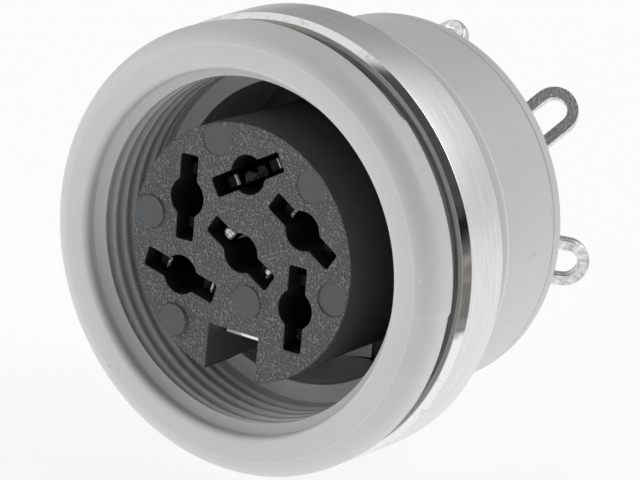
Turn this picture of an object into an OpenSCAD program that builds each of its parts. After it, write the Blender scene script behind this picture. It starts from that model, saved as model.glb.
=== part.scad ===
// Panel-mount DIN socket with six contacts, screw-locking, with solder lugs at the rear.
// Millimetres. The axis runs along Y, the mating face looks towards -Y and the key notch is down (-Z).
// The origin is on the axis, in the plane of the flange's back face, which seats on the panel.

/* [Part to show] */
// the node to build, or all of them

/* [Contact places] */
// radius of the circle that the outer contacts stand on
pin_circle_r = 3.5; // [3.1:0.01:3.9]
// distance from that circle to the insert's edge
insert_edge = 2.2; // [2.0:0.01:2.5]
// diameter of the round pin holes
hole_dia = 1.74; // [1.5:0.02:2.0]
// length of the slots in the face
slot_len = 3.8; // [3.4:0.02:4.2]
// width of the slots in the face
slot_w = 0.9; // [0.8:0.02:1.0]
// how much wider the contact chambers are than the slots, on each side
chamber_room = 0.05; // [0.02:0.01:0.06]

/* [Contact insert] */
// how far the insert's face lies behind the flange's front face
insert_set = 0.38; // [0.2:0.02:0.6]
// thickness of the front disc
disc_t = 2.35; // [2.0:0.05:2.8]
// how much thinner the insert is behind the disc, in radius
disc_step = 0.1; // [0.05:0.01:0.14]
// thickness of the face in front of the contact chambers
face_t = 1.0; // [0.8:0.05:1.2]
// thickness of the insert's base flange
base_t = 1.7; // [1.4:0.05:2.0]
// width of the key notch
notch_w = 2.6; // [2.2:0.05:3.0]
// depth of the key notch below the insert's edge
notch_depth = 2.2; // [1.9:0.02:2.5]
// radius of the flat ejector marks
mark_r = 0.75; // [0.6:0.01:0.85]
// depth of the shallowest ejector mark
mark_depth = 0.04; // [0.02:0.01:0.06]

/* [Plug thread bore] */
// room for the plug between the insert and the crests of the inner thread
plug_room = 1.9; // [1.6:0.02:2.2]
// how much wider the bore is at the front face, in radius
leadin_step = 0.5; // [0.4:0.02:0.6]
// how much the lead-in wall narrows on its way in, in radius
leadin_foot_step = 0.12; // [0.08:0.01:0.16]
// depth of the lead-in wall
leadin_depth = 0.52; // [0.4:0.02:0.7]
// depth of the chamfer behind the lead-in wall
chamfer_depth = 0.38; // [0.2:0.02:0.6]
// depth of the bore's shoulder below the front face
shoulder_depth = 4.98; // [4.3:0.02:5.6]
// thickness of the lip that holds the shield sleeve
lip_t = 0.6; // [0.4:0.05:1.0]
// pitch of the thread that takes the plug's coupling ring
plug_pitch = 0.75; // [0.5:0.05:0.8]
// plain length between the last groove of that thread and the shoulder
plug_thread_run = 0.2; // [0.1:0.05:0.5]

/* [Barrel, flange and rear body] */
// wall between the crests of the inner and the outer thread
barrel_wall = 1.4; // [1.2:0.02:1.7]
// length of the barrel behind the flange
barrel_len = 6.15; // [5.4:0.05:7.0]
// chamfer at the end of the barrel
barrel_chamfer = 0.2; // [0.1:0.01:0.22]
// how far the flange stands out from the barrel
flange_lip = 0.93; // [0.8:0.01:1.2]
// thickness of the front flange
flange_t = 1.63; // [1.4:0.01:2.2]
// radius of the flange's rounded outer edge
flange_round = 1.0; // [0.6:0.05:1.2]
// how far the round's centre stands forward of a tangent round
flange_crease = 0.02; // [0.01:0.01:0.05]
// step from the barrel down to the rear body, in radius
body_step = 0.28; // [0.24:0.01:0.4]
// how much the rear body narrows on its way back, in radius
body_back_inset = 0.27; // [0.1:0.01:0.32]
// wall of the rear body at its back
body_wall = 1.35; // [1.1:0.01:1.6]
// distance from the panel seat to the back of the housing
body_back = 10.51; // [9.2:0.01:11.8]
// small chamfer on both edges of the seam in front of the rear cover
seam_chamfer = 0.09; // [0.04:0.01:0.12]

/* [Ring nut] */
// how far the nut stands out past the flange
nut_proud = 0.07; // [0.02:0.01:0.2]
// distance from the panel seat to the nut's front face
nut_front = 1.1; // [0.5:0.05:1.8]
// thickness of the nut
nut_t = 2.85; // [2.4:0.05:3.2]
// pitch of the nut's thread on the barrel
nut_pitch = 0.75; // [0.5:0.05:0.8]
// plain length between the flange and the barrel's thread
barrel_thread_room = 0.03; // [0.02:0.01:0.2]
// radial clearance of the nut's thread on the barrel
nut_gap = 0.04; // [0.02:0.01:0.1]
// size of the countersink at both ends of the nut, outside its thread's roots
nut_sink = 0.51; // [0.3:0.01:0.56]
// radial size of the polished front chamfer
nut_chamfer_r = 0.22; // [0.1:0.01:0.25]
// axial size of the polished front chamfer
nut_chamfer_y = 0.35; // [0.1:0.05:0.5]
// size of the rear chamfer
nut_rear_chamfer = 0.08; // [0.04:0.01:0.12]

/* [Contacts] */
// thickness of the contact sheet
sheet_t = 0.5; // [0.42:0.01:0.56]
// distance from the insert's face to the fork's tips
fork_tip = 0.45; // [0.35:0.05:1.0]
// distance from the insert's face to where the tines grip the pin
fork_grip = 3.4; // [3.0:0.05:3.9]
// distance from the insert's face to where the tines stop spreading
fork_spread = 5.2; // [4.6:0.05:5.8]
// half of the gap between the tines at their tips
tip_gap = 0.9; // [0.84:0.01:0.98]
// half of the gap where the tines grip the pin
grip_gap = 0.68; // [0.6:0.01:0.74]
// chamfer on the tines' tips
tip_chamfer = 0.1; // [0.05:0.01:0.14]
// room between the tines and the ends of a chamber
tine_room = 0.42; // [0.34:0.01:0.5]
// length of the solid web between a fork's slot and its grip
web_len = 0.3; // [0.2:0.02:0.4]
// length of a contact that the insert's base grips
grip_len = 2.5; // [2.2:0.05:2.9]
// room behind the grip, where a lug turns away from its fork
turn_room = 0.4; // [0.3:0.02:0.5]

/* [Solder lugs] */
// width of a solder lug
lug_w = 2.22; // [2.0:0.02:2.4]
// width of the ring round a lug's eye
lug_ring = 0.52; // [0.44:0.01:0.6]
// length of the elongated eye
eye_len = 3.2; // [2.4:0.1:3.6]
// straight length between the rear cover and the bend
lug_straight = 1.2; // [0.9:0.05:1.6]
// length of a lug behind the bend
lug_len = 5.0; // [4.6:0.05:5.4]
// angle that the outer lugs are bent outwards
lug_angle = 51; // [42:1:60]
// inner radius of the bend
bend_r = 0.5; // [0.4:0.05:0.8]
// clearance round a lug in the rear cover
lug_gap = 0.03; // [0.02:0.01:0.1]

/* [Rear cover] */
// thickness of the cover's rim behind the housing
cover_t = 0.64; // [0.5:0.01:0.8]
// length of the cover's spigot inside the housing
spigot_len = 0.66; // [0.5:0.01:0.8]
// size of the chamfer on the cover's rear edge
cover_chamfer = 0.12; // [0.05:0.01:0.2]

/* [Shield sleeve] */
// thickness of the sleeve's sheet
sleeve_t = 0.3; // [0.24:0.01:0.36]
// distance from the insert's face to the earthing finger's tip
finger_tip = 1.15; // [0.9:0.05:1.6]
// clearance between the finger and each side of the key notch
finger_side_gap = 0.15; // [0.1:0.01:0.3]
// gap between the finger and the notch's floor
finger_floor_gap = 0.29; // [0.2:0.01:0.4]

/* [Hidden] */
big = 160;
small = 48;
round_steps = 8;
// how far a cut reaches past what it cuts
reach = 1;
// radii, from the pin circle outwards
insert_r = pin_circle_r + insert_edge;
bore_r = insert_r + plug_room;
barrel_r = bore_r + barrel_wall;
flange_r = barrel_r + flange_lip;
nut_r = flange_r + nut_proud;
body_rear_r = barrel_r - body_step - body_back_inset;
cavity_r = body_rear_r - body_wall;
sleeve_r = cavity_r - sleeve_t;
notch_floor = insert_r - notch_depth;
finger_in = notch_floor + finger_floor_gap;
// places along the axis, from the front backwards
front_y = -flange_t;
face_y = front_y + insert_set;
shoulder_y = front_y + shoulder_depth;
sleeve_y = shoulder_y + lip_t;
spigot_y = body_back - spigot_len;
base_y = spigot_y - base_t;
chamber_back = spigot_y - grip_len;
cover_y = body_back + cover_t;
nut_back = nut_front + nut_t;
// basic metric thread: angle of a flank, flats at the inside thread's root and at the outside thread's root
flank_angle = 30;
inside_root_share = 1 / 8;
outside_root_share = 1 / 4;
// how far a groove's cut reaches past the crests
groove_reach = 0.05;
// cross-sections of the contacts and their chambers
chamber_len = slot_len + 2 * chamber_room;
chamber_w = slot_w + 2 * chamber_room;
tine_half = chamber_len / 2 - tine_room;
eye_r = lug_w / 2 - lug_ring;
// where a lug's foot, its bend and the stub behind the bend lie
foot_y = spigot_y - turn_room / 2;
bend_y = cover_y + lug_straight;
stub_len = (lug_len - lug_w / 2 - eye_len + eye_r) / 2;
// turns of the barrel's thread, up to where the nut's countersink clears the barrel
barrel_turns = ceil((nut_back - nut_sink - barrel_thread_room) / nut_pitch);
// angle where the flange's round starts, at the crease on the front face
round_start = acos(1 - flange_crease / flange_round);
// contact places: angle round the axis, share of the pin circle, slot angle, turn of the lug, share of its bend
PLACES = [
    [90, 1, 31, -7, 0.9],
    [150, 1, 91, 0, 1],
    [210, 1, 167, 0, 1],
    [330, 1, -89, -9, 1],
    [30, 1, -31.5, -3, 1],
    [0, 0, -30.5, 0, 0]
];
last_place = len(PLACES) - 1;
// ejector marks: angle round the axis, share of the way out to the insert's edge, times the shallowest's depth
MARKS = [
    [110.4, 1.01, 1],
    [49.1, 1.01, 1.2],
    [172, 0.99, 2.5],
    [-9.7, 0.998, 1.5],
    [230.4, 0.998, 3],
    [-75.8, 0.43, 1]
];

// a solid of revolution round the Y axis, from points given as [radius, y]
module turned(points) {
    rotate([90, 0, 0])
        rotate_extrude($fn = big)
            polygon([for (p = points) [p[0], -p[1]]]);
}

// a cylinder along Y
module rod(r, y0, y1, steps = small) {
    translate([0, y0, 0])
        rotate([-90, 0, 0])
            cylinder(r = r, h = y1 - y0, $fn = steps);
}

// puts its children at a contact's place, with their X along the slot
module at_place(k, turn = 0) {
    p = PLACES[k];
    r = pin_circle_r * p[1];
    translate([r * cos(p[0]), 0, r * sin(p[0])])
        rotate([0, -p[2] - turn, 0])
            children();
}

// a slot along X, centred on the axis
module slot(len, w, y0, y1) {
    translate([-len / 2, y0, -w / 2])
        cube([len, y1 - y0, w]);
}

// depth of a basic metric thread
function thread_depth(pitch) = 5 / 8 * pitch * cos(flank_angle);

// one thread groove round the axis, to cut away from the side of the crests
module groove(crest_r, root_r, root_w, y) {
    open_r = crest_r + (crest_r > root_r ? groove_reach : -groove_reach);
    half = root_w / 2;
    open_half = half + abs(open_r - root_r) * tan(flank_angle);
    turned([
        [root_r, y - half],
        [open_r, y - open_half],
        [open_r, y + open_half],
        [root_r, y + half]
    ]);
}

// grooves of the thread that takes the plug's coupling ring
module plug_thread() {
    top = front_y + leadin_depth + chamfer_depth;
    turns = floor((shoulder_y - plug_thread_run - top) / plug_pitch);
    for (i = [0:turns - 1])
        groove(bore_r, bore_r + thread_depth(plug_pitch), plug_pitch * inside_root_share,
            top + plug_pitch * (i + 0.5));
}

// grooves of the barrel's thread, as far back as the nut needs
module barrel_thread() {
    for (i = [0:barrel_turns - 1])
        groove(barrel_r, barrel_r - thread_depth(nut_pitch), nut_pitch * outside_root_share,
            barrel_thread_room + nut_pitch * (i + 0.5));
}

// flange, threaded barrel and rear body, moulded in one
module housing() {
    leadin_r = bore_r + leadin_step;
    leadin_y = front_y + leadin_depth;
    round_r = flange_r - flange_round;
    round_y = front_y + flange_round - flange_crease;
    color([0.78, 0.78, 0.77])
        difference() {
            turned(concat(
                [[leadin_r, front_y]],
                [for (i = [0:round_steps])
                    let (a = round_start + (90 - round_start) * i / round_steps)
                    [round_r + flange_round * sin(a), round_y - flange_round * cos(a)]],
                [
                    [flange_r, 0],
                    [barrel_r, 0],
                    [barrel_r, barrel_len - barrel_chamfer],
                    [barrel_r - barrel_chamfer, barrel_len],
                    [barrel_r - body_step, barrel_len],
                    [body_rear_r, body_back - seam_chamfer],
                    [body_rear_r - seam_chamfer, body_back],
                    [cavity_r, body_back],
                    [cavity_r, sleeve_y],
                    [sleeve_r, sleeve_y],
                    [sleeve_r, shoulder_y],
                    [bore_r, shoulder_y],
                    [bore_r, leadin_y + chamfer_depth],
                    [leadin_r - leadin_foot_step, leadin_y]
                ]));
            plug_thread();
            barrel_thread();
        }
}

// round nut that clamps the panel against the flange; its crests are cut back to pass over the rear body
module ring_nut() {
    crest_r = barrel_r - body_step + nut_gap;
    root_r = barrel_r + nut_gap;
    sink_r = root_r + nut_sink;
    color([0.8, 0.81, 0.83])
        difference() {
            turned([
                [crest_r, nut_front],
                [nut_r - nut_chamfer_r, nut_front],
                [nut_r, nut_front + nut_chamfer_y],
                [nut_r, nut_back - nut_rear_chamfer],
                [nut_r - nut_rear_chamfer, nut_back],
                [crest_r, nut_back]
            ]);
            for (i = [0:barrel_turns])
                groove(crest_r, root_r, nut_pitch * inside_root_share, barrel_thread_room + nut_pitch * i);
            turned([
                [0, nut_front - reach],
                [sink_r + reach, nut_front - reach],
                [0, nut_front + sink_r]
            ]);
            turned([
                [0, nut_back + reach],
                [0, nut_back - sink_r],
                [sink_r + reach, nut_back + reach]
            ]);
        }
}

// dark carrier of the contacts, with the face that the plug's pins enter
module insert() {
    disc_back = face_y + disc_t;
    mark_circle_r = insert_r - mark_r;
    color([0.2, 0.2, 0.21])
        difference() {
            turned([
                [0, face_y],
                [insert_r, face_y],
                [insert_r, disc_back],
                [insert_r - disc_step, disc_back],
                [insert_r - disc_step, base_y],
                [cavity_r, base_y],
                [cavity_r, spigot_y],
                [0, spigot_y]
            ]);
            translate([-notch_w / 2, face_y - reach, -insert_r - reach])
                cube([notch_w, base_y - face_y + reach, notch_depth + reach]);
            translate([-notch_w / 2, base_y - reach, -cavity_r - reach])
                cube([notch_w, sleeve_t + reach, cavity_r - notch_floor + reach]);
            for (k = [0:last_place])
                at_place(k) {
                    rod(hole_dia / 2, face_y - reach, chamber_back);
                    slot(slot_len, slot_w, face_y - reach, face_y + face_t);
                    slot(chamber_len, chamber_w, face_y + face_t, chamber_back);
                    slot(chamber_len, sheet_t, chamber_back, spigot_y + reach);
                    slot(chamber_len, chamber_w, spigot_y - turn_room, spigot_y + reach);
                }
            for (m = MARKS)
                rotate([0, -m[0], 0])
                    translate([mark_circle_r * m[1], 0, 0])
                        rod(mark_r, face_y - reach, face_y + mark_depth * m[2]);
        }
}

// metal sleeve that meets the plug's shell; its foot lies in the insert's base and carries the earthing finger
module shield_sleeve() {
    finger_w = notch_w - 2 * finger_side_gap;
    finger_y = face_y + finger_tip;
    foot_r = cavity_r - sleeve_t / 2;
    foot_back = base_y + sleeve_t;
    color([0.6, 0.6, 0.6])
        union() {
            difference() {
                rod(cavity_r, sleeve_y, base_y, big);
                rod(sleeve_r, sleeve_y - reach, base_y + reach, big);
            }
            translate([-finger_w / 2, finger_y, -finger_in - sleeve_t])
                cube([finger_w, foot_back - finger_y, sleeve_t]);
            translate([-finger_w / 2, base_y, -foot_r])
                cube([finger_w, sleeve_t, foot_r - finger_in]);
            translate([-finger_w / 2, base_y - sleeve_t, -foot_r])
                cube([finger_w, foot_back - base_y + sleeve_t, foot_r - sleeve_r]);
        }
}

// plate that closes the back and lets the lugs through
module rear_cover() {
    color([0.78, 0.78, 0.77])
        difference() {
            turned([
                [0, spigot_y],
                [cavity_r, spigot_y],
                [cavity_r, body_back],
                [body_rear_r - seam_chamfer, body_back],
                [body_rear_r, body_back + seam_chamfer],
                [body_rear_r, cover_y - cover_chamfer],
                [body_rear_r - cover_chamfer, cover_y],
                [0, cover_y]
            ]);
            for (k = [0:last_place])
                at_place(k, PLACES[k][3])
                    slot(lug_w + 2 * lug_gap, sheet_t + 2 * lug_gap, spigot_y - reach, cover_y + reach);
        }
}

// outline of one side of the fork, from the tip to the shoulder
module fork_outline() {
    tip_y = face_y + fork_tip;
    grip_y = face_y + fork_grip;
    spread_y = face_y + fork_spread;
    web_y = chamber_back - web_len;
    half = chamber_len / 2;
    polygon([
        [-half, spigot_y],
        [-half, chamber_back],
        [-tine_half, chamber_back],
        [-tine_half, tip_y + tip_chamfer],
        [-tine_half + tip_chamfer, tip_y],
        [-tip_gap - tip_chamfer, tip_y],
        [-tip_gap, tip_y + tip_chamfer],
        [-grip_gap, grip_y],
        [-tip_gap, spread_y],
        [-tip_gap, web_y],
        [tip_gap, web_y],
        [tip_gap, spread_y],
        [grip_gap, grip_y],
        [tip_gap, tip_y + tip_chamfer],
        [tip_gap + tip_chamfer, tip_y],
        [tine_half - tip_chamfer, tip_y],
        [tine_half, tip_y + tip_chamfer],
        [tine_half, chamber_back],
        [half, chamber_back],
        [half, spigot_y]
    ]);
}

// puts its children where a lug's leg starts, with their Y along the leg
module at_leg(turn) {
    mid_r = bend_r + sheet_t / 2;
    translate([0, bend_y + mid_r * sin(turn), mid_r * (1 - cos(turn))])
        rotate([turn, 0, 0])
            children();
}

// strip from a lug's foot, through the bend where it has one, to the stub that the leg lies over
module strip(turn) {
    angles = [for (i = [0:round_steps]) turn * i / round_steps];
    outer_r = bend_r + sheet_t;
    stub = [stub_len * cos(turn), stub_len * sin(turn)];
    arc_out = [for (a = angles) [bend_y + outer_r * sin(a), bend_r + sheet_t / 2 - outer_r * cos(a)]];
    arc_in = [for (a = angles) [bend_y + bend_r * sin(a), bend_r + sheet_t / 2 - bend_r * cos(a)]];
    side_out = turn > 0 ? arc_out : [arc_out[0]];
    side_in = turn > 0 ? arc_in : [arc_in[0]];
    last = len(side_out) - 1;
    translate([-lug_w / 2, 0, 0])
        rotate([90, 0, 90])
            linear_extrude(height = lug_w)
                polygon(concat(
                    [[foot_y, -sheet_t / 2]],
                    side_out,
                    [side_out[last] + stub, side_in[last] + stub],
                    [for (i = [0:last]) side_in[last - i]],
                    [[foot_y, sheet_t / 2]]
                ));
}

// outline of a lug's leg, with a round end and an elongated eye
module leg_outline() {
    r = lug_w / 2;
    tip = lug_len - r;
    eye_end = tip - eye_len + 2 * eye_r;
    difference() {
        union() {
            translate([-r, 0])
                square([lug_w, tip]);
            translate([0, tip])
                circle(r = r, $fn = small);
        }
        translate([0, tip])
            circle(r = eye_r, $fn = small);
        translate([0, eye_end])
            circle(r = eye_r, $fn = small);
        translate([-eye_r, eye_end])
            square([2 * eye_r, eye_len - 2 * eye_r]);
    }
}

// spring fork and solder lug, stamped from one sheet
module contact(k) {
    turn = lug_angle * PLACES[k][4];
    color([0.75, 0.75, 0.74])
        union() {
            at_place(k)
                translate([0, 0, -sheet_t / 2])
                    linear_extrude(height = sheet_t)
                        fork_outline();
            at_place(k, PLACES[k][3]) {
                strip(turn);
                at_leg(turn)
                    translate([0, 0, -sheet_t / 2])
                        linear_extrude(height = sheet_t)
                            leg_outline();
            }
        }
}

// outer contact at the top
module contact_1() { contact(0); }

// outer contact at the upper left
module contact_2() { contact(1); }

// outer contact at the lower left
module contact_3() { contact(2); }

// outer contact at the lower right
module contact_4() { contact(3); }

// outer contact at the upper right
module contact_5() { contact(4); }

// centre contact, with a straight lug
module contact_6() { contact(5); }

housing();
ring_nut();
insert();
shield_sleeve();
rear_cover();
contact_1();
contact_2();
contact_3();
contact_4();
contact_5();
contact_6();
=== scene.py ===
"""Looks of a panel-mount DIN socket: real threads, soft edges, finishes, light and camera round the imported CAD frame.

Lengths below are millimetres in the CAD frame, and MM turns them into Blender's metres.
"""

import math

import bmesh
import bpy
import numpy as np
from mathutils import Matrix, Vector


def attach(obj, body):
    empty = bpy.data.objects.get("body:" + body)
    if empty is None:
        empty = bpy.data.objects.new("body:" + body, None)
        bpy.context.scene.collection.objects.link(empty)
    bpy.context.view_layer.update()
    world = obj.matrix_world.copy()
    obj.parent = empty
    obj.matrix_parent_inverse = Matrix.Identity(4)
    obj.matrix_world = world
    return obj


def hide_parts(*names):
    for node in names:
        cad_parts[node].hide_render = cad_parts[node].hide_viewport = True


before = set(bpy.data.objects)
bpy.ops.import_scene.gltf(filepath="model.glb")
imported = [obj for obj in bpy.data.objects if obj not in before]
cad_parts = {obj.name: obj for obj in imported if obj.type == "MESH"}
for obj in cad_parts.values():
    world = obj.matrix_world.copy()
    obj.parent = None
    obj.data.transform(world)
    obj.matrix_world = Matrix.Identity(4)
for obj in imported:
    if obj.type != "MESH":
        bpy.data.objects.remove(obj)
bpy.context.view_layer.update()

MM = 0.001

# Housing, as in the CAD source
BORE_R = 7.6
LEADIN_FOOT_R = 7.98
BARREL_R = 9.0
FLANGE_R = 9.93
FLANGE_ROUND = 1.0
FLANGE_CREASE = 0.02
BODY_FRONT_R = 8.72
BODY_REAR_R = 8.45
CAVITY_R = 7.1
LIP_R = 6.8
FRONT_Y = -1.63
LEADIN_Y = -1.11
THREAD_Y = -0.73
SHOULDER_Y = 3.35
SLEEVE_Y = 3.95
BARREL_END_Y = 6.15
BARREL_CHAMFER = 0.2
BODY_BACK_Y = 10.51

# Soft edges of the housing, and the seam's chamfers, finer here than in the source
LEADIN_ROUND = 0.3
LEADIN_SOFT = 0.02
FLANGE_EDGE_SOFT = 0.06
SEAM_CHAMFER = 0.045

# Threads: grooves in the walls of the bore and the barrel
PLUG_PITCH = 0.75
PLUG_ROOT_R = 8.0
PLUG_STARTS = 2
PLUG_PHASE = 0.1
PLUG_THREAD_END_Y = 2.8
BARREL_PITCH = 0.75
BARREL_ROOT_R = 8.6
BARREL_THREAD_Y = 0.02
BARREL_THREAD_END_Y = 4.1
BARREL_PHASE = 0.3
ROWS_PER_PITCH = 16
# half of a groove's width in the wall and the width of its flank, as shares of the pitch
GROOVE_HALF = 0.375
GROOVE_FLANK = 0.3125

# Mould parting step on the flange's back edge, in degrees round the axis
PARTING_FROM = -2.4
PARTING_TO = 48.0
PARTING_OUT = 0.02
PARTING_BACK = 0.13

# Ring nut, whose thread stands inward from the wall of its bore
NUT_R = 10.0
NUT_BORE_R = 9.04
NUT_SINK = 0.51
NUT_THREAD_R = 8.76
NUT_FRONT_Y = 1.1
NUT_BACK_Y = 3.95
NUT_CHAMFER_R = 0.22
NUT_CHAMFER_Y = 0.35
NUT_REAR_CHAMFER = 0.08
# how far behind the front chamfer, and how far inside it, a face still takes its finish
NUT_ZONE_BACK = 0.015
NUT_ZONE_IN = 0.005

# Contact insert
INSERT_R = 5.7
INSERT_STEP = 0.1
INSERT_TAPER = 0.8
FACE_Y = -1.25
FACE_T = 1.0
DISC_BACK_Y = 1.1
BASE_Y = 8.15
BASE_BACK_Y = 9.85
NOTCH_W = 2.6
NOTCH_FLOOR = 3.5
SHIELD_T = 0.3
RIM_SOFT = 0.045
# how far behind the face the painted shade of the openings starts
OPENING_DEPTH = 0.15
PIN_CIRCLE_R = 3.5
HOLE_R = 0.87
SLOT_LEN = 3.8
SLOT_W = 0.9
CHAMBER_LEN = 3.9
CHAMBER_W = 1.0
CHAMBER_BACK_Y = 7.35
SHEET_T = 0.5
TURN_ROOM = 0.4
SLOT_CORNER = 0.12
HOLE_BLEND = 0.16
MARK_R = 0.75
# how far a raised mark's solid reaches into the insert
MARK_SEAT = 0.3
# angle round the axis, share of the pin circle, slot angle, turn of the lug from the slot
PLACES = [(90, 1, 31, -7), (150, 1, 91, 0), (210, 1, 167, 0), (330, 1, -89, -9), (30, 1, -31.5, -3),
          (0, 0, -30.5, 0)]
# angle round the axis, distance from it, depth below the face or, if negative, height above it
MARKS = [(110.4, 5.0, 0.03), (49.1, 5.0, 0.03), (172, 4.9, -0.08), (-9.7, 4.94, 0.06), (230.4, 4.94, -0.12),
         (-75.8, 2.13, -0.05)]

# Rear cover and the lugs that pass it
COVER_Y = 11.15
COVER_CHAMFER = 0.12
LUG_W = 2.22
LUG_GAP = 0.03

# Contacts: where the painted shade on their front part ends, and the painted glints on the right-facing tip chamfers,
# as (left tine, right tine) for the contacts where these aren't shade on both: 0 tin, 1 fork shade, 2 dim tin
FORK_BACK_Y = 10.7
TIPS = {1: (0, 0), 3: (2, 0), 5: (2, 1), 6: (0, 0)}
# how much of a normal has to point forward, and how much to the right, on such a chamfer
TIP_FACING = 0.3
# rounded edges of shield and contacts as (from this y on, width), up to the next entry's y
SHIELD_EDGES = [(-1000, 0.04)]
CONTACT_EDGES = [(-1000, 0.03), (COVER_Y - 0.3, 0.12)]

# Dull places on the nut's front chamfer: angle round the axis and size
CHAMFER_TARNISH = [(14, 1.6), (8, 1.6), (2, 1.6), (-3, 1.4)]

# Specks and scuffs on the housing: centre, size and how much lighter or darker than the plastic
SCUFFS = [((9.28, -1.53, 1.25), 0.07, 1.25), ((-6.12, -1.62, -6.69), 0.1, 0.8), ((-2.6, -1.63, -8.5), 0.12, 0.9),
          ((8.58, 8.32, 0.07), 0.12, 0.88), ((8.55, 8.82, 0.05), 0.14, 0.8), ((8.66, 7.05, 0.1), 0.12, 0.92)]
# Painted highlights along the flange's crease and its parting line, as fine lighter lines: half their width and how
# much lighter
LINE_HALF = 0.028
LINE_HIGHLIGHT = 1.08

# Painted glints on the forks: centre and size
FORK_GLINTS = [((-0.65, 0.07, 2.83), 0.55), ((-0.77, 0.93, 3.04), 0.5), ((-0.93, -0.8, 0.47), 0.3),
          ((-0.9, 0.11, 0.24), 0.45), ((1.19, -0.8, -0.65), 0.14), ((1.43, -0.8, 4.1), 0.16)]

# Steps of a turn, of a round in the flange's section, of a small fillet and of a small circle
TURN_STEPS = 360
FLANGE_STEPS = 14
FILLET_STEPS = 4
CIRCLE_STEPS = 48
# radius of the tiny ring that stands for a point on the axis, until closed_ends makes it one
AXIS_R = 0.0005
# how far a cutter stands out of the solid it cuts, and how far it reaches into the room of another cutter
CUT_OUT = 1
CUT_OVERLAP = 0.002
GRIP_OVERLAP = 0.5

# Colours, linear
HOUSING_COLOUR = (0.495, 0.496, 0.498)
COVER_COLOUR = (0.5, 0.5, 0.5)
# painted shade of the nut on the barrel's band behind it
BAND_SHADE_COLOUR = (0.29, 0.28, 0.255)
INSERT_DARK = (0.065, 0.067, 0.071)
INSERT_LIGHT = (0.122, 0.125, 0.133)
INSERT_SMOOTH = (0.057, 0.059, 0.062)
# painted shade of the bore on the insert's side
INSERT_SIDE_SHADE = (0.042, 0.043, 0.045)
# painted shade inside the insert's openings
OPENING_SHADE = (0.01, 0.01, 0.011)
NICKEL_DARK = (0.64, 0.64, 0.65)
NICKEL_LIGHT = (0.88, 0.88, 0.89)
TARNISH = (0.17, 0.165, 0.155)
SHIELD_DARK = (0.6, 0.6, 0.59)
SHIELD_LIGHT = (0.72, 0.72, 0.71)
TIN_DULL = (0.5, 0.5, 0.49)
TIN_BRIGHT = (0.82, 0.82, 0.81)
# painted shade on the forks' front parts
FORK_SHADE = (0.008, 0.008, 0.008)
TURNED_DARK = (0.5, 0.49, 0.47)
TURNED_LIGHT = (0.72, 0.71, 0.69)
# painted highlight on the earthing finger
FINGER_HIGHLIGHT = (0.95, 0.95, 0.95)

# Camera: place in mm and its axes, a long lens near the object
CAMERA_PLACE = (105.463, -156.708, 59.440)
CAMERA_RIGHT = (0.81776925, 0.56813172, 0.09208586)
CAMERA_DOWN = (0.24258562, -0.19514823, -0.95029963)
CAMERA_FORWARD = (-0.52192497, 0.79946452, -0.2974068)
CAMERA_LENS = 259.6
CAMERA_SENSOR = 36.0
CAMERA_CLIP = (0.01, 10)

# Floor, with the share and the strength of its glow, as it is seen and as it lights the object from below
FLOOR_Z = -10.005
FLOOR_HALF = 1500
FLOOR_COLOUR = (0.92, 0.92, 0.92, 1)
FLOOR_SEEN = (0.85, 1.0)
FLOOR_LIT = (0.6, 1.8)

# Studio: a soft level all round, times the level of each patch in its direction, full within the first angle and
# fading out to the second, in degrees
WORLD_LEVEL = 0.81
WORLD_PATCHES = [
    ((0.66, -0.35, 0.67), 35, 48, 0.08),
    ((-0.85, -0.5, 0.12), 14, 36, 3.0),
    ((0.61, 0.35, 0.71), 12, 28, 7.0),
    ((-0.45, 0.78, 0.42), 16, 36, 0.4),
    ((0.57, 0.8, 0.15), 3, 22, 0.72),
]


def unit(vector):
    return vector / np.linalg.norm(vector)


def rounded(corners):
    """Outline points from (radius, y, fillet) corners of a closed outline, each fillet as a short arc."""
    points = []
    for i, (radius, y, fillet) in enumerate(corners):
        here = np.array((radius, y))
        if fillet == 0:
            points.append(here)
            continue
        to_last = unit(np.array(corners[i - 1][:2]) - here)
        to_next = unit(np.array(corners[(i + 1) % len(corners)][:2]) - here)
        half = math.acos(np.clip(to_last @ to_next, -1, 1)) / 2
        centre = here + unit(to_last + to_next) * fillet / math.sin(half)
        start = here + to_last * fillet / math.tan(half) - centre
        end = here + to_next * fillet / math.tan(half) - centre
        sweep = math.atan2(start[0] * end[1] - start[1] * end[0], start @ end)
        for k in range(FILLET_STEPS + 1):
            a = sweep * k / FILLET_STEPS
            points.append(centre + np.array((start[0] * math.cos(a) - start[1] * math.sin(a),
                                             start[0] * math.sin(a) + start[1] * math.cos(a))))
    return points


def turn_angles():
    return np.arange(TURN_STEPS) * 2 * math.pi / TURN_STEPS


def thread_rings(y_from, y_to, wall_r, far_r, pitch, phase, fade_from, fade_to, starts=1):
    """Rings of a right-hand thread between two places on the axis, which goes from the wall to far_r.

    It fades out within fade_from and fade_to of the two places.
    """
    rings = []
    count = int(round(abs(y_to - y_from) / pitch * ROWS_PER_PITCH))
    for y in np.linspace(y_from, y_to, count + 1):
        turn = (y - phase) / pitch + starts * turn_angles() / (2 * math.pi)
        off_centre = np.abs(turn % 1 - 0.5)
        groove = np.clip((GROOVE_HALF - off_centre) / GROOVE_FLANK, 0, 1)
        groove = (groove + groove * groove * (3 - 2 * groove)) / 2
        fade = np.clip(abs(y - y_from) / fade_from, 0, 1) * np.clip(abs(y_to - y) / fade_to, 0, 1)
        rings.append((wall_r + (far_r - wall_r) * groove * fade, y))
    return rings


def new_object(name, mesh):
    obj = bpy.data.objects.new(name, mesh)
    bpy.context.scene.collection.objects.link(obj)
    return obj


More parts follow.
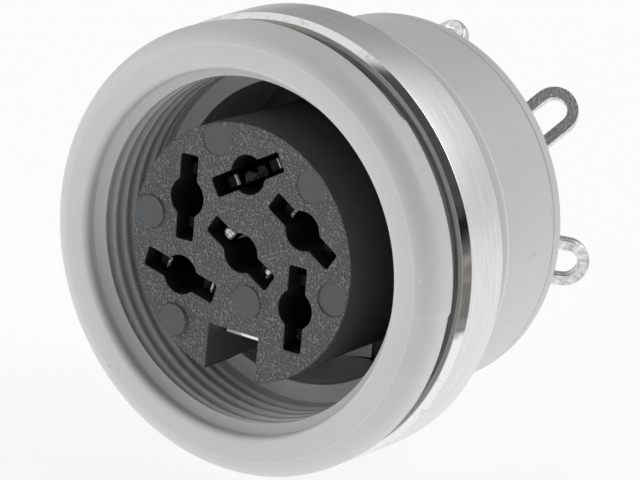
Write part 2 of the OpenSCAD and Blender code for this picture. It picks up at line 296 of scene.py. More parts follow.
def finish_mesh(obj, sharp_angle=40):
    """Smooth shading with hard edges above an angle, and normals that follow the large faces."""
    bm = bmesh.new()
    bm.from_mesh(obj.data)
    bmesh.ops.recalc_face_normals(bm, faces=bm.faces)
    for face in bm.faces:
        face.smooth = True
    for edge in bm.edges:
        edge.smooth = len(edge.link_faces) == 2 and edge.calc_face_angle(0) < math.radians(sharp_angle)
    bm.to_mesh(obj.data)
    bm.free()
    modifier = obj.modifiers.new("weighted_normals", "WEIGHTED_NORMAL")
    modifier.keep_sharp = True
    return obj


def lathe(name, rings):
    """A closed solid of revolution round Y from (radius, y) rings, where both may hold one value for each step."""
    angles = turn_angles()
    verts = []
    for radius, y in rings:
        verts.append(np.stack([radius * np.cos(angles), y + 0 * angles, radius * np.sin(angles)], 1))
    faces = []
    for i in range(len(rings)):
        a = i * TURN_STEPS
        b = (i + 1) % len(rings) * TURN_STEPS
        for j in range(TURN_STEPS):
            k = (j + 1) % TURN_STEPS
            faces.append((a + j, a + k, b + k, b + j))
    mesh = bpy.data.meshes.new(name)
    mesh.from_pydata((np.concatenate(verts) * MM).tolist(), [], faces)
    return new_object(name, mesh)


def parting_window():
    """1 between the two parting lines on the flange's edge, and 0 elsewhere."""
    degrees = (np.degrees(turn_angles()) + 180) % 360 - 180
    return np.clip(np.minimum(degrees - PARTING_FROM, PARTING_TO - degrees) + 0.5, 0, 1)


def housing_rings():
    """Section of the housing, from the front face round the outside to the back and up the bore."""
    window = parting_window()
    round_r = FLANGE_R - FLANGE_ROUND
    round_y = FRONT_Y + FLANGE_ROUND - FLANGE_CREASE
    start = math.acos(1 - FLANGE_CREASE / FLANGE_ROUND)
    rings = [(LEADIN_FOOT_R + LEADIN_SOFT + LEADIN_ROUND, FRONT_Y)]
    for share in [0, 0.01] + [k / FLANGE_STEPS for k in range(1, FLANGE_STEPS + 1)]:
        a = start + (math.pi / 2 - start) * share
        out = window * PARTING_OUT * share ** 2
        rings.append((round_r + FLANGE_ROUND * math.sin(a) + out, round_y - FLANGE_ROUND * math.cos(a)))
    edge_r = FLANGE_R + window * PARTING_OUT
    edge_y = window * PARTING_BACK
    soft = FLANGE_EDGE_SOFT
    rings += [(edge_r, edge_y - soft), (edge_r - soft / 3, edge_y - soft / 3), (edge_r - soft, edge_y)]
    rings += [(BARREL_R + 0.2, 0), (BARREL_R, 0)]
    rings += thread_rings(BARREL_THREAD_Y, BARREL_THREAD_END_Y, BARREL_R, BARREL_ROOT_R, BARREL_PITCH,
                          BARREL_PHASE, fade_from=0.3, fade_to=0.5)
    rings += [(BARREL_R, BARREL_END_Y - 1)]
    back_and_bore = [
        (BARREL_R, BARREL_END_Y - BARREL_CHAMFER, 0),
        (BARREL_R - BARREL_CHAMFER, BARREL_END_Y, 0.03),
        (BODY_FRONT_R, BARREL_END_Y, 0.02),
        (BODY_REAR_R, BODY_BACK_Y - SEAM_CHAMFER, 0.03),
        (BODY_REAR_R - SEAM_CHAMFER, BODY_BACK_Y, 0),
        (CAVITY_R, BODY_BACK_Y, 0),
        (CAVITY_R, SLEEVE_Y, 0),
        (LIP_R, SLEEVE_Y, 0.02),
        (LIP_R, SHOULDER_Y, 0.04),
        (BORE_R, SHOULDER_Y, 0.05),
        (BORE_R, THREAD_Y, 0),
    ]
    rings += [tuple(p) for p in rounded(back_and_bore)[:-1]]
    rings += thread_rings(PLUG_THREAD_END_Y, THREAD_Y, BORE_R, PLUG_ROOT_R, PLUG_PITCH, PLUG_PHASE,
                          fade_from=0.3, fade_to=0.1, starts=PLUG_STARTS)
    rings += [(LEADIN_FOOT_R - LEADIN_SOFT, LEADIN_Y + 0.03), (LEADIN_FOOT_R, LEADIN_Y - 0.03)]
    for a in np.radians([0, 15, 30, 45, 60, 75]):
        rings.append((LEADIN_FOOT_R + LEADIN_SOFT + LEADIN_ROUND * (1 - math.cos(a)),
                      FRONT_Y + LEADIN_ROUND * (1 - math.sin(a))))
    return rings


def nut_rings():
    """Outline of the nut, with a thread that fits the barrel's."""
    sink_r = NUT_BORE_R + NUT_SINK
    outline = rounded([
        (NUT_BORE_R, NUT_FRONT_Y + NUT_SINK, 0),
        (sink_r, NUT_FRONT_Y, 0.03),
        (NUT_R - NUT_CHAMFER_R, NUT_FRONT_Y, 0.03),
        (NUT_R, NUT_FRONT_Y + NUT_CHAMFER_Y, 0.04),
        (NUT_R, NUT_BACK_Y - NUT_REAR_CHAMFER, 0.04),
        (NUT_R - NUT_REAR_CHAMFER, NUT_BACK_Y, 0.03),
        (sink_r, NUT_BACK_Y, 0.02),
        (NUT_BORE_R, NUT_BACK_Y - NUT_SINK, 0),
    ])
    thread = thread_rings(NUT_BACK_Y - NUT_SINK, NUT_FRONT_Y + NUT_SINK, NUT_BORE_R, NUT_THREAD_R, BARREL_PITCH,
                          BARREL_PHASE, fade_from=0.2, fade_to=0.2)
    return [tuple(p) for p in outline] + thread[1:-1]


def loft(sections):
    """Verts and faces of a closed solid through (x, z) outlines of the same length, each at its own y."""
    count = len(sections[0][0])
    verts = [(x, y, z) for outline, y in sections for x, z in outline]
    last = (len(sections) - 1) * count
    faces = [tuple(range(count)), tuple(range(last + count - 1, last - 1, -1))]
    for start in range(0, last, count):
        for i in range(count):
            j = (i + 1) % count
            faces.append((start + i, start + count + i, start + count + j, start + j))
    return verts, faces


def prism(outline, y_from, y_to):
    return loft([(outline, y_from), (outline, y_to)])


def soft_cut(outline_at, y_to):
    """A cutter from in front of the insert's face, where outline_at(grow) flares out a little at the face."""
    levels = [(RIM_SOFT, FACE_Y - CUT_OUT), (RIM_SOFT, FACE_Y)]
    levels += [(RIM_SOFT * (1 - math.sin(a)), FACE_Y + RIM_SOFT * (1 - math.cos(a)))
               for a in np.radians([25, 45, 65, 90])]
    levels += [(0, y_to)]
    return loft([(outline_at(grow), y) for grow, y in levels])


def joined(name, solids):
    """One mesh object from several separate solids."""
    verts = []
    faces = []
    for more_verts, more_faces in solids:
        start = len(verts)
        verts += more_verts
        faces += [tuple(start + i for i in face) for face in more_faces]
    mesh = bpy.data.meshes.new(name)
    mesh.from_pydata([(x * MM, y * MM, z * MM) for x, y, z in verts], [], faces)
    obj = new_object(name, mesh)
    bm = bmesh.new()
    bm.from_mesh(mesh)
    bmesh.ops.recalc_face_normals(bm, faces=bm.faces)
    bm.to_mesh(mesh)
    bm.free()
    return obj


def at_place(place, outline, turn=0):
    """An outline's points at a contact's place, with its X along the slot."""
    angle, share, slot = (math.radians(place[0]), place[1], math.radians(place[2] + turn))
    cx = PIN_CIRCLE_R * share * math.cos(angle)
    cz = PIN_CIRCLE_R * share * math.sin(angle)
    return [(cx + x * math.cos(slot) - z * math.sin(slot), cz + x * math.sin(slot) + z * math.cos(slot))
            for x, z in outline]


def arc(cx, cz, radius, degrees_from, degrees_to, steps):
    return [(cx + radius * math.cos(math.radians(a)), cz + radius * math.sin(math.radians(a)))
            for a in np.linspace(degrees_from, degrees_to, steps + 1)]


def circle(cx, cz, radius):
    return arc(cx, cz, radius, 0, 360 - 360 / CIRCLE_STEPS, CIRCLE_STEPS - 1)


def keyhole_outline(grow=0):
    """A round hole crossed by a slot, with rounded slot corners and soft junctions."""
    half_len = SLOT_LEN / 2
    half_w = SLOT_W / 2 + grow
    hole_r = HOLE_R + grow
    blend = HOLE_BLEND - grow
    blend_z = half_w + blend
    blend_x = math.sqrt((hole_r + blend) ** 2 - blend_z ** 2)
    meet = math.degrees(math.atan2(blend_z, blend_x))
    corner_z = SLOT_W / 2 - SLOT_CORNER
    quarter = arc(half_len - SLOT_CORNER, corner_z, SLOT_CORNER + grow, 0, 90, 4)
    quarter += arc(blend_x, blend_z, blend, 270, 180 + meet, 4)
    quarter += arc(0, 0, hole_r, meet, 90, 8)[1:]
    left = [(-x, z) for x, z in reversed(quarter[:-1])]
    upper = quarter + left
    return upper + [(-x, -z) for x, z in upper]


def box_outline(length, width):
    return [(-length / 2, -width / 2), (length / 2, -width / 2), (length / 2, width / 2), (-length / 2, width / 2)]


def notch_outline(grow=0):
    """The key notch, from past the cavity's wall up to its floor."""
    half = NOTCH_W / 2 + grow
    top = grow - NOTCH_FLOOR
    bottom = -CAVITY_R - CUT_OUT
    return [(-half, bottom), (half, bottom), (half, top), (-half, top)]


def cut(obj, cutter, operation="DIFFERENCE"):
    """Takes the cutter out of the object, or adds it with UNION, and takes it out of the scene."""
    modifier = obj.modifiers.new("cut", "BOOLEAN")
    modifier.operation = operation
    modifier.solver = "EXACT"
    modifier.object = cutter
    graph = bpy.context.evaluated_depsgraph_get()
    made = bpy.data.meshes.new_from_object(obj.evaluated_get(graph))
    obj.modifiers.clear()
    old = obj.data
    obj.data = made
    bpy.data.meshes.remove(old)
    bpy.data.objects.remove(cutter)


def closed_ends(obj):
    """Merges the tiny rings round the axis, which stand for the ends of a solid outline, to points."""
    bm = bmesh.new()
    bm.from_mesh(obj.data)
    bmesh.ops.remove_doubles(bm, verts=[v for v in bm.verts if math.hypot(v.co.x, v.co.z) < AXIS_R * 2 * MM],
                             dist=AXIS_R * 4 * MM)
    flat = [f for f in bm.faces if f.calc_area() < 1e-16]
    bmesh.ops.delete(bm, geom=flat, context="FACES_ONLY")
    bm.to_mesh(obj.data)
    bm.free()


def make_insert():
    """The contact carrier with its notch, openings, chambers and ejector marks."""
    body = lathe("insert_detail", [tuple(p) for p in rounded([
        (AXIS_R, FACE_Y, 0),
        (INSERT_R, FACE_Y, 0.05),
        (INSERT_R, DISC_BACK_Y - INSERT_TAPER, 0.2),
        (INSERT_R - INSERT_STEP, DISC_BACK_Y + INSERT_TAPER, 0.2),
        (INSERT_R - INSERT_STEP, BASE_Y, 0),
        (CAVITY_R, BASE_Y, 0),
        (CAVITY_R, BASE_BACK_Y, 0),
        (AXIS_R, BASE_BACK_Y, 0),
    ])])
    closed_ends(body)
    cut(body, joined("notch", [soft_cut(notch_outline, BASE_Y + SHIELD_T)]))
    cut(body, joined("keyholes", [soft_cut(lambda grow, p=p: at_place(p, keyhole_outline(grow)), FACE_Y + FACE_T)
                                  for p in PLACES]))
    cut(body, joined("chambers", [prism(at_place(p, box_outline(CHAMBER_LEN, CHAMBER_W)),
                                        FACE_Y + FACE_T - CUT_OVERLAP, CHAMBER_BACK_Y) for p in PLACES]))
    cut(body, joined("pin_holes", [prism(at_place(p, circle(0, 0, HOLE_R - CUT_OVERLAP)),
                                         FACE_Y + FACE_T - 2 * CUT_OVERLAP, CHAMBER_BACK_Y - CUT_OVERLAP)
                                   for p in PLACES]))
    cut(body, joined("grips", [prism(at_place(p, box_outline(CHAMBER_LEN - 0.01, SHEET_T)),
                                     CHAMBER_BACK_Y - GRIP_OVERLAP, BASE_BACK_Y + CUT_OUT) for p in PLACES]))
    cut(body, joined("turn_rooms", [prism(at_place(p, box_outline(CHAMBER_LEN, CHAMBER_W)),
                                          BASE_BACK_Y - TURN_ROOM, BASE_BACK_Y + CUT_OUT) for p in PLACES]))
    sunk = []
    raised = []
    for angle, radius, depth in MARKS:
        centre = (radius * math.cos(math.radians(angle)), radius * math.sin(math.radians(angle)))
        wide = circle(*centre, MARK_R)
        narrow = circle(*centre, MARK_R - abs(depth) / 2)
        if depth > 0:
            sunk.append(loft([(wide, FACE_Y - CUT_OUT), (wide, FACE_Y), (narrow, FACE_Y + depth)]))
        else:
            raised.append(loft([(narrow, FACE_Y + depth), (wide, FACE_Y), (wide, FACE_Y + MARK_SEAT)]))
    cut(body, joined("sunk_marks", sunk))
    cut(body, joined("raised_marks", raised), "UNION")
    return body


def make_cover():
    """The rear cover with its spigot and the slots for the lugs."""
    cover = lathe("rear_cover_detail", [tuple(p) for p in rounded([
        (AXIS_R, BASE_BACK_Y, 0),
        (CAVITY_R, BASE_BACK_Y, 0),
        (CAVITY_R, BODY_BACK_Y, 0),
        (BODY_REAR_R - SEAM_CHAMFER, BODY_BACK_Y, 0),
        (BODY_REAR_R, BODY_BACK_Y + SEAM_CHAMFER, 0.03),
        (BODY_REAR_R, COVER_Y - COVER_CHAMFER, 0.05),
        (BODY_REAR_R - COVER_CHAMFER, COVER_Y, 0.05),
        (AXIS_R, COVER_Y, 0),
    ])])
    closed_ends(cover)
    slot = box_outline(LUG_W + 2 * LUG_GAP, SHEET_T + 2 * LUG_GAP)
    cut(cover, joined("lug_slots", [prism(at_place(p, slot, p[3]), BASE_BACK_Y - CUT_OUT, COVER_Y + CUT_OUT)
                                    for p in PLACES]))
    return cover


def softened(node, name, rules, split_y=None):
    """A copy of a CAD node with its edges rounded by the rules. Faces that pass split_y are split there."""
    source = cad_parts[node]
    obj = new_object(name, source.data.copy())
    obj.data.materials.clear()
    bm = bmesh.new()
    bm.from_mesh(obj.data)
    bmesh.ops.remove_doubles(bm, verts=bm.verts, dist=0.0005 * MM)
    bmesh.ops.dissolve_limit(bm, angle_limit=math.radians(1), verts=bm.verts, edges=bm.edges)
    for i, (y_from, width) in enumerate(rules):
        y_to = rules[i + 1][0] if i + 1 < len(rules) else 1000
        edges = [e for e in bm.edges if len(e.link_faces) == 2 and e.calc_face_angle(0) > math.radians(30)
                 and y_from <= (e.verts[0].co.y + e.verts[1].co.y) / 2 / MM < y_to]
        bmesh.ops.bevel(bm, geom=edges, offset=width * MM, segments=3, profile=0.5, affect="EDGES",
                        clamp_overlap=True)
    if split_y is not None:
        bmesh.ops.bisect_plane(bm, geom=bm.verts[:] + bm.edges[:] + bm.faces[:],
                               plane_co=(0, split_y * MM, 0), plane_no=(0, 1, 0))
    bm.to_mesh(obj.data)
    bm.free()
    return obj


class Shader:
    """A Principled material and short calls for the nodes that drive it. Places are object coordinates in mm."""

    def __init__(self, name, **sockets):
        self.material = bpy.data.materials.new(name)
        self.material.use_nodes = True
        self.tree = self.material.node_tree
        self.bsdf = self.tree.nodes["Principled BSDF"]
        for socket, value in sockets.items():
            self.bsdf.inputs[socket.replace("_", " ")].default_value = value
        coordinates = self.tree.nodes.new("ShaderNodeTexCoord")
        scale = self.tree.nodes.new("ShaderNodeVectorMath")
        scale.operation = "SCALE"
        scale.inputs["Scale"].default_value = 1 / MM
        self.link(coordinates.outputs["Object"], scale.inputs[0])
        self.place = scale.outputs[0]

    def link(self, source, target):
        self.tree.links.new(source, target)

    def put(self, value, target):
        if isinstance(value, (int, float, tuple)):
            target.default_value = value
        else:
            self.link(value, target)

    def math(self, operation, a, b=0.0, c=0.0):
        node = self.tree.nodes.new("ShaderNodeMath")
        node.operation = operation
        for value, target in zip((a, b, c), node.inputs):
            self.put(value, target)
        return node.outputs[0]

    def split(self, vector):
        node = self.tree.nodes.new("ShaderNodeSeparateXYZ")
        self.put(vector, node.inputs[0])
        return node.outputs

    def combine(self, x, y, z):
        node = self.tree.nodes.new("ShaderNodeCombineXYZ")
        for value, target in zip((x, y, z), node.inputs):
            self.put(value, target)
        return node.outputs[0]

    def noise(self, size, detail=2.0, rough=0.5, at=None, distortion=0.0):
        """Noise with features of about this size in mm, 0 to 1."""
        node = self.tree.nodes.new("ShaderNodeTexNoise")
        self.put(at or self.place, node.inputs["Vector"])
        node.inputs["Scale"].default_value = 1 / size
        node.inputs["Detail"].default_value = detail
        node.inputs["Roughness"].default_value = rough
        node.inputs["Distortion"].default_value = distortion
        return node.outputs["Fac"]

    def ramp(self, value, low, high, out_low=0.0, out_high=1.0, smooth=False):
        node = self.tree.nodes.new("ShaderNodeMapRange")
        node.interpolation_type = "SMOOTHSTEP" if smooth else "LINEAR"
        self.put(value, node.inputs["Value"])
        for socket, number in (("From Min", low), ("From Max", high), ("To Min", out_low), ("To Max", out_high)):
            self.put(number, node.inputs[socket])
        return node.outputs["Result"]

    def mix(self, factor, a, b):
        node = self.tree.nodes.new("ShaderNodeMix")
        node.data_type = "RGBA"
        self.put(factor, node.inputs["Factor"])
        # the node's sockets repeat their names, so its colour inputs and its colour output go by number
        for value, target in ((a, node.inputs[6]), (b, node.inputs[7])):
            self.put(value + (1.0,) if isinstance(value, tuple) else value, target)
        return node.outputs[2]

    def radius(self):
        x, _, z = self.split(self.place)
        return self.math("SQRT", self.math("ADD", self.math("MULTIPLY", x, x), self.math("MULTIPLY", z, z)))

    def spot(self, centre, size, blur=0.4):
        """1 within an uneven spot of this size round a point, 0 outside."""
        node = self.tree.nodes.new("ShaderNodeVectorMath")
        node.operation = "DISTANCE"
        self.link(self.place, node.inputs[0])
        node.inputs[1].default_value = centre
        wander = self.ramp(self.noise(size * 0.7), 0, 1, -size * 0.5, size * 0.5)
        return self.ramp(self.math("ADD", node.outputs["Value"], wander), size * blur, size, 1, 0, smooth=True)

    def bump(self, height, depth, normal=None):
        """Bump from a height of 0 to 1 that stands for depth in mm."""
        node = self.tree.nodes.new("ShaderNodeBump")
        node.inputs["Distance"].default_value = depth * MM
        self.put(height, node.inputs["Height"])
        if normal is not None:
            self.link(normal, node.inputs["Normal"])
        return node.outputs["Normal"]

    def use(self, **sockets):
        for socket, value in sockets.items():
            self.link(value, self.bsdf.inputs[socket.replace("_", " ")])
        return self.material


def shade(colour, factor):
    return tuple(c * factor for c in colour)


def grey_moulding(s, colour):
    """Colour of a smooth light moulding: faint cloudiness and a few dark specks."""
    base = s.mix(s.ramp(s.noise(3.0, 3), 0.3, 0.7), shade(colour, 0.965), colour)
    specks = s.ramp(s.noise(0.9, 1), 0.76, 0.8)
    return s.mix(s.math("MULTIPLY", specks, 0.25), base, shade(colour, 0.6))


def satin(s, base, rough):
    """The fine satin surface of a light moulding, in the base colour."""
    roughness = s.ramp(s.noise(0.35, 2), 0.3, 0.7, rough - 0.04, rough + 0.05)
    return s.use(Base_Color=base, Roughness=roughness, Normal=s.bump(s.noise(0.12, 3, 0.6), 0.0025))


def flange_highlight_lines(s):
    """1 on the thin painted highlight lines along the flange's crease and its parting line, 0 elsewhere."""
    x, y, z = s.split(s.place)
    crease_r = FLANGE_R - FLANGE_ROUND + math.sqrt(2 * FLANGE_ROUND * FLANGE_CREASE - FLANGE_CREASE ** 2)
    on_crease = s.math("MULTIPLY", s.math("COMPARE", s.radius(), crease_r, LINE_HALF), s.ramp(y, -1.2, -1.3))
    parting = math.radians(PARTING_FROM)
    off_line = s.math("SUBTRACT", s.math("MULTIPLY", z, math.cos(parting)),
                      s.math("MULTIPLY", x, math.sin(parting)))
    on_round = s.math("MULTIPLY", s.ramp(x, crease_r, crease_r + 0.3), s.ramp(y, 0, -0.05))
    on_parting = s.math("MULTIPLY", s.math("COMPARE", off_line, 0, LINE_HALF), on_round)
    return s.math("MAXIMUM", on_crease, on_parting)


def housing_plastic():
    """Light moulding: specks and scuffs, painted highlight lines on the flange, painted shade and highlight behind the
    nut.
    """
    s = Shader("housing_plastic")
    colour = HOUSING_COLOUR
    # painted highlight: the crease and the parting line a little lighter than the plastic
    base = s.mix(flange_highlight_lines(s), grey_moulding(s, colour), shade(colour, LINE_HIGHLIGHT))
    for centre, size, change in SCUFFS:
        base = s.mix(s.spot(centre, size), base, shade(colour, change))
    _, y, _ = s.split(s.place)
    band_end = BARREL_END_Y - BARREL_CHAMFER
    # the band is the barrel's smooth outside, from just inside the nut to the chamfer
    on_band = s.math("MULTIPLY", s.ramp(s.radius(), BARREL_R - 0.06, BARREL_R - 0.04),
                     s.ramp(y, NUT_BACK_Y - 0.5, NUT_BACK_Y - 0.4))
    # painted shade: the band is darkest next to the nut and fades out towards the chamfer, in a darker, warmer grey
    base = s.mix(s.math("MULTIPLY", on_band, s.ramp(y, NUT_BACK_Y, band_end, 1, 0)), base, BAND_SHADE_COLOUR)
    # painted highlight: a lighter line along the band's rear edge, where the chamfer starts
    edge = s.math("COMPARE", y, band_end, 0.1)
    base = s.mix(s.math("MULTIPLY", on_band, edge), base, shade(colour, 1.25))
    return satin(s, base, 0.45)


def cover_plastic():
    s = Shader("cover_plastic")
    return satin(s, grey_moulding(s, COVER_COLOUR), 0.48)


def insert_plastic():
    """Dark moulding: a crisp grain on the face, smooth ejector marks, and smooth sides painted darker as shade."""
    s = Shader("insert_plastic")
    x, y, z = s.split(s.place)
    on_face = s.math("COMPARE", y, FACE_Y, 0.012)
    on_side = s.ramp(s.radius(), INSERT_R - INSERT_STEP - 0.05, INSERT_R - INSERT_STEP - 0.02)
    pebbles = s.ramp(s.noise(0.08, 0, 0.5), 0.3, 0.7, smooth=True)
    relief = s.math("ADD", s.math("MULTIPLY", pebbles, 0.8), s.math("MULTIPLY", s.noise(0.2, 2, 0.6), 0.2))
    grain = s.math("MULTIPLY", relief, s.ramp(on_face, 0, 1, 0.05, 1.0))
    scratches = s.ramp(s.noise(0.05, 2, 0.6, at=s.combine(s.math("MULTIPLY", x, 0.08), y, z)), 0.62, 0.7)
    base = s.mix(s.ramp(relief, 0.2, 0.8), INSERT_DARK, INSERT_LIGHT)
    # painted shade: the insert's side takes a darker copy of the smooth colour, for the bore's shade round it
    base = s.mix(on_face, s.mix(on_side, INSERT_SMOOTH, INSERT_SIDE_SHADE), base)
    base = s.mix(s.math("MULTIPLY", scratches, s.ramp(on_face, 0, 1, 0.4, 0.1)), base, INSERT_LIGHT)
    return s.use(Base_Color=base, Roughness=s.ramp(relief, 0, 1, 0.5, 0.42), Normal=s.bump(grain, 0.12))


def opening_shade_plastic():
    """The same moulding inside its openings, painted nearly black and without shine as shade."""
    s = Shader("insert_opening", Specular_IOR_Level=0.1, Roughness=0.7)
    return s.use(Base_Color=s.mix(s.noise(0.3), OPENING_SHADE, shade(OPENING_SHADE, 1.3)))


def round_lines(s, across, along):
    """Coordinates that stretch a noise into lines round the axis: across mm wide and about along mm long."""
    x, y, z = s.split(s.place)
    r = s.radius()
    reach = NUT_R * across / along
    return s.combine(s.math("MULTIPLY", s.math("DIVIDE", x, r), reach), s.math("ADD", y, r),
                     s.math("MULTIPLY", s.math("DIVIDE", z, r), reach))


def brushed_nickel():
    """The nut's outside, brushed round its axis."""
    s = Shader("nut_brushed_nickel", Metallic=1.0, Anisotropic=0.7)
    lines = s.noise(0.04, 2, 0.7, at=round_lines(s, 0.04, 1.6))
    bands = s.noise(0.2, 2, 0.5, at=round_lines(s, 0.2, 12.0))
    both = s.math("ADD", s.math("MULTIPLY", lines, 0.85), s.math("MULTIPLY", bands, 0.15))
    base = s.mix(s.ramp(both, 0.3, 0.7), NICKEL_DARK, NICKEL_LIGHT)
    roughness = s.ramp(both, 0.3, 0.7, 0.36, 0.28)
    tangent = s.tree.nodes.new("ShaderNodeTangent")
    tangent.direction_type = "RADIAL"
    tangent.axis = "Y"
    return s.use(Base_Color=base, Roughness=roughness, Normal=s.bump(both, 0.003), Tangent=tangent.outputs[0])


def polished_nickel():
    """The nut's front chamfer, bright with dull places."""
    s = Shader("nut_polished_nickel", Metallic=1.0)
    worn = s.ramp(s.noise(0.5, 4, 0.6), 0.55, 0.75)
    base = s.mix(worn, NICKEL_LIGHT, NICKEL_DARK)
    tarnish = 0.0
    for angle, size in CHAMFER_TARNISH:
        centre = (NUT_R * math.cos(math.radians(angle)), NUT_FRONT_Y, NUT_R * math.sin(math.radians(angle)))
        tarnish = s.math("MAXIMUM", tarnish, s.spot(centre, size, 0.5))
    base = s.mix(s.math("MULTIPLY", tarnish, s.ramp(s.noise(0.6, 2), 0.3, 0.6, 0.85, 1.0)), base, TARNISH)
    roughness = s.ramp(s.noise(0.2, 3), 0.3, 0.7, 0.07, 0.14)
    normal = s.bump(s.noise(0.7, 2, 0.5), 0.002)
    return s.use(Base_Color=base, Roughness=roughness, Normal=normal)


def turned_nickel():
    """The nut's other faces, as the lathe left them."""
    s = Shader("nut_turned_nickel", Metallic=1.0)
    lines = s.noise(0.06, 3, 0.6, at=round_lines(s, 0.06, 6.0))
    base = s.mix(s.ramp(lines, 0.35, 0.65), TURNED_DARK, TURNED_LIGHT)
    roughness = s.ramp(lines, 0.3, 0.7, 0.42, 0.34)
    return s.use(Base_Color=base, Roughness=roughness, Normal=s.bump(lines, 0.003))


def shield_metal():
    """Dull sheet with faint streaks round the axis."""
    s = Shader("shield_metal", Metallic=0.3)
    streaks = s.noise(0.3, 2, 0.5, at=round_lines(s, 0.3, 3.0))
    base = s.mix(s.ramp(streaks, 0.3, 0.7), SHIELD_DARK, SHIELD_LIGHT)
    roughness = s.ramp(streaks, 0.3, 0.7, 0.5, 0.56)
    return s.use(Base_Color=base, Roughness=roughness, Normal=s.bump(streaks, 0.001))


def fork_shade_and_glints():
    """The forks inside the insert: painted nearly black as shade, with painted glints at the listed places."""
    s = Shader("contact_fork_shade_and_glints", Metallic=1.0, Roughness=0.3)
    glint_mask = 0.0
    for centre, size in FORK_GLINTS:
        glint_mask = s.math("MAXIMUM", glint_mask, s.spot(centre, size, 0.6))
    mottle = s.ramp(s.noise(0.11, 3, 0.6), 0.4, 0.6)
    base = s.mix(s.math("MULTIPLY", glint_mask, s.ramp(mottle, 0, 1, 0.3, 1.0)), FORK_SHADE, TIN_BRIGHT)
    return s.use(Base_Color=base, Metallic=s.ramp(glint_mask, 0, 1, 1.0, 0.3), Normal=s.bump(s.noise(0.14, 3), 0.04))


def dim_glint_tin():
    """Dim painted glint: tin mottled with the forks' painted shade."""
    s = Shader("contact_dim_glint_tin", Metallic=1.0)
    return s.use(Base_Color=s.mix(s.ramp(s.noise(0.15, 3), 0.4, 0.6), FORK_SHADE, TIN_DULL),
                 Roughness=s.ramp(s.noise(0.3), 0.3, 0.7, 0.4, 0.5))


def finger_highlight_metal():
    """The earthing finger, painted near white and half diffuse as a highlight on the sleeve's sheet."""
    s = Shader("finger_painted_highlight", Metallic=0.5, Base_Color=FINGER_HIGHLIGHT + (1.0,))
    return s.use(Roughness=s.ramp(s.noise(0.3), 0.3, 0.7, 0.1, 0.2))


def tinned_sheet():
    """Tinned strip: mottled dull and bright patches with a soft uneven surface."""
    s = Shader("contact_tin", Metallic=1.0)
    mottle = s.noise(0.28, 4, 0.6, distortion=0.3)
    base = s.mix(s.ramp(mottle, 0.38, 0.62), TIN_DULL, TIN_BRIGHT)
    roughness = s.ramp(mottle, 0.35, 0.65, 0.4, 0.26)
    normal = s.bump(s.noise(0.12, 2, 0.5), 0.02)
    return s.use(Base_Color=base, Roughness=roughness, Normal=normal)


def paint(obj, materials, rule=None):
    """Gives the object its materials; rule(place, normal) picks one for each face, with the place in mm."""
    for material in materials:
        obj.data.materials.append(material)
    if rule is None:
        return
    for polygon in obj.data.polygons:
        polygon.material_index = rule(polygon.center / MM, polygon.normal)


def in_opening(place, normal):
    """1 inside the openings, 0 on the insert's face and outside."""
    return int(place.y > FACE_Y + OPENING_DEPTH and math.hypot(place.x, place.z) < INSERT_R - INSERT_STEP - 0.05)


def in_finger(place, normal):
    """1 on the earthing finger in the notch, 0 on the sleeve round the insert."""
    return int(math.hypot(place.x, place.z) < INSERT_R and place.y < BASE_Y)


def fork_rule(k):
    """Rule for contact k: tin on its lug, painted shade on the fork in front, and what TIPS says on the tips' chamfers.
    """
    angle, share = PLACES[k - 1][:2]
    middle = PIN_CIRCLE_R * share * math.cos(math.radians(angle))

    def rule(place, normal):
        if place.y > FORK_BACK_Y:
            return 0
        # painted glints on the tips' chamfers that face right and forward, as TIPS gives
        if normal.y < -TIP_FACING and normal.x > TIP_FACING:
            return TIPS.get(k, (1, 1))[int(place.x > middle)]
        return 1

    return rule


def nut_zone(place, normal):
    """0 for the outside, 1 for the front chamfer, 2 for the rest."""
    radius = math.hypot(place.x, place.z)
    outward = (normal.x * place.x + normal.z * place.z) / radius
    zone_y = NUT_FRONT_Y + NUT_CHAMFER_Y + NUT_ZONE_BACK
    if place.y < zone_y and radius > NUT_R - NUT_CHAMFER_R - NUT_ZONE_IN:
        return 1
    if outward > 0.9:
        return 0
    return 2


def add_piece(obj, slot, *nodes):
    """Puts a piece on the body in place of its CAD nodes."""
    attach(obj, "root")
    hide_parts(*nodes)


housing = finish_mesh(lathe("housing_detail", housing_rings()))
nut = finish_mesh(lathe("ring_nut_detail", nut_rings()), 35)
insert = finish_mesh(make_insert(), 35)
cover = finish_mesh(make_cover(), 35)
shield = finish_mesh(softened("shield_sleeve", "shield_sleeve_detail", SHIELD_EDGES), 35)
contacts = [finish_mesh(softened(f"contact_{k}", f"contact_{k}_detail", CONTACT_EDGES, FORK_BACK_Y), 50)
            for k in range(1, len(PLACES) + 1)]

paint(housing, [housing_plastic()])
paint(nut, [brushed_nickel(), polished_nickel(), turned_nickel()], nut_zone)
paint(insert, [insert_plastic(), opening_shade_plastic()], in_opening)
paint(cover, [cover_plastic()])
paint(shield, [shield_metal(), finger_highlight_metal()], in_finger)
contact_metals = [tinned_sheet(), fork_shade_and_glints(), dim_glint_tin()]
for k, contact in enumerate(contacts, 1):
    paint(contact, contact_metals, fork_rule(k))

add_piece(housing, "housing", "housing")
add_piece(nut, "ring_nut", "ring_nut")
add_piece(insert, "insert", "insert")
add_piece(cover, "rear_cover", "rear_cover")
add_piece(shield, "shield_sleeve", "shield_sleeve")
for k, contact in enumerate(contacts, 1):
    add_piece(contact, "contact", f"contact_{k}")


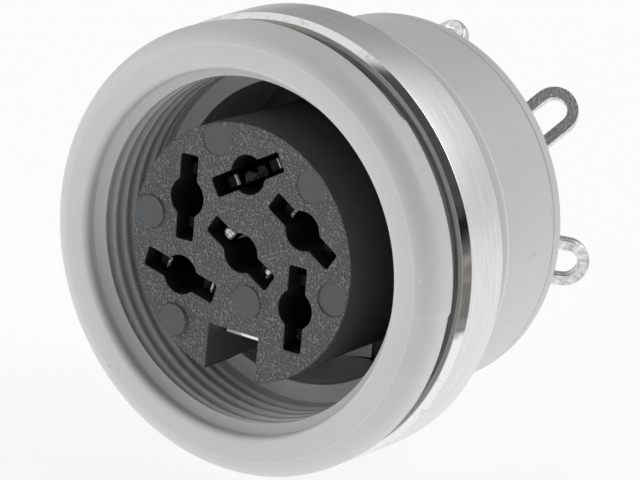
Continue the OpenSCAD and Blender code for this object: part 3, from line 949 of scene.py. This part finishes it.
def make_camera():
    data = bpy.data.cameras.new("camera")
    data.lens = CAMERA_LENS
    data.sensor_width = CAMERA_SENSOR
    data.clip_start, data.clip_end = CAMERA_CLIP
    camera = bpy.data.objects.new("camera", data)
    right, down, forward = (Vector(v) for v in (CAMERA_RIGHT, CAMERA_DOWN, CAMERA_FORWARD))
    matrix = Matrix((right, -down, -forward)).transposed().to_4x4()
    matrix.translation = Vector(CAMERA_PLACE) * MM
    camera.matrix_world = matrix
    bpy.context.scene.collection.objects.link(camera)
    bpy.context.scene.camera = camera


def seen_directly(tree):
    """1 for camera, glossy and transmission rays, and 0 for light that falls on surfaces."""
    path = tree.nodes.new("ShaderNodeLightPath")
    total = path.outputs["Is Camera Ray"]
    for other in ("Is Glossy Ray", "Is Transmission Ray"):
        larger = tree.nodes.new("ShaderNodeMath")
        larger.operation = "MAXIMUM"
        tree.links.new(total, larger.inputs[0])
        tree.links.new(path.outputs[other], larger.inputs[1])
        total = larger.outputs[0]
    return total


def make_floor():
    """Plain white paper that keeps the object's shadow and glows softly, more so for light than for the camera."""
    mesh = bpy.data.meshes.new("floor")
    half = FLOOR_HALF * MM
    z = FLOOR_Z * MM
    mesh.from_pydata([(-half, -half, z), (half, -half, z), (half, half, z), (-half, half, z)], [], [(0, 1, 2, 3)])
    floor = new_object("floor", mesh)
    material = bpy.data.materials.new("floor_paper")
    material.use_nodes = True
    tree = material.node_tree
    tree.nodes.clear()
    output = tree.nodes.new("ShaderNodeOutputMaterial")
    paper = tree.nodes.new("ShaderNodeBsdfDiffuse")
    paper.inputs["Color"].default_value = FLOOR_COLOUR
    glow = tree.nodes.new("ShaderNodeEmission")
    mix = tree.nodes.new("ShaderNodeMixShader")
    seen = seen_directly(tree)
    for lit, shown, target in zip(FLOOR_LIT, FLOOR_SEEN, (mix.inputs[0], glow.inputs["Strength"])):
        value = tree.nodes.new("ShaderNodeMapRange")
        value.inputs["To Min"].default_value = lit
        value.inputs["To Max"].default_value = shown
        tree.links.new(seen, value.inputs["Value"])
        tree.links.new(value.outputs["Result"], target)
    tree.links.new(paper.outputs[0], mix.inputs[1])
    tree.links.new(glow.outputs[0], mix.inputs[2])
    tree.links.new(mix.outputs[0], output.inputs["Surface"])
    mesh.materials.append(material)


def make_world():
    """White all round for camera rays, and soft studio light with brighter and darker patches for the rest."""
    world = bpy.data.worlds.new("studio")
    bpy.context.scene.world = world
    world.use_nodes = True
    tree = world.node_tree
    background = tree.nodes["Background"]
    coordinates = tree.nodes.new("ShaderNodeTexCoord")
    total = None
    for direction, inner, outer, level in WORLD_PATCHES:
        dot = tree.nodes.new("ShaderNodeVectorMath")
        dot.operation = "DOT_PRODUCT"
        tree.links.new(coordinates.outputs["Generated"], dot.inputs[0])
        dot.inputs[1].default_value = Vector(direction).normalized()
        patch = tree.nodes.new("ShaderNodeMapRange")
        patch.interpolation_type = "SMOOTHSTEP"
        tree.links.new(dot.outputs["Value"], patch.inputs["Value"])
        patch.inputs["From Min"].default_value = math.cos(math.radians(outer))
        patch.inputs["From Max"].default_value = math.cos(math.radians(inner))
        patch.inputs["To Min"].default_value = 1.0
        patch.inputs["To Max"].default_value = level
        product = tree.nodes.new("ShaderNodeMath")
        product.operation = "MULTIPLY"
        tree.links.new(patch.outputs["Result"], product.inputs[0])
        if total is None:
            product.inputs[1].default_value = WORLD_LEVEL
        else:
            tree.links.new(total, product.inputs[1])
        total = product.outputs[0]
    path = tree.nodes.new("ShaderNodeLightPath")
    # the inputs and the output of this node go by number, as their names repeat
    shown = tree.nodes.new("ShaderNodeMix")
    shown.data_type = "FLOAT"
    tree.links.new(path.outputs["Is Camera Ray"], shown.inputs["Factor"])
    tree.links.new(total, shown.inputs[2])
    shown.inputs[3].default_value = 1.0
    tree.links.new(shown.outputs[0], background.inputs["Strength"])
    background.inputs["Color"].default_value = (1, 1, 1, 1)


make_camera()
make_floor()
make_world()
bpy.context.scene.view_settings.view_transform = "Standard"
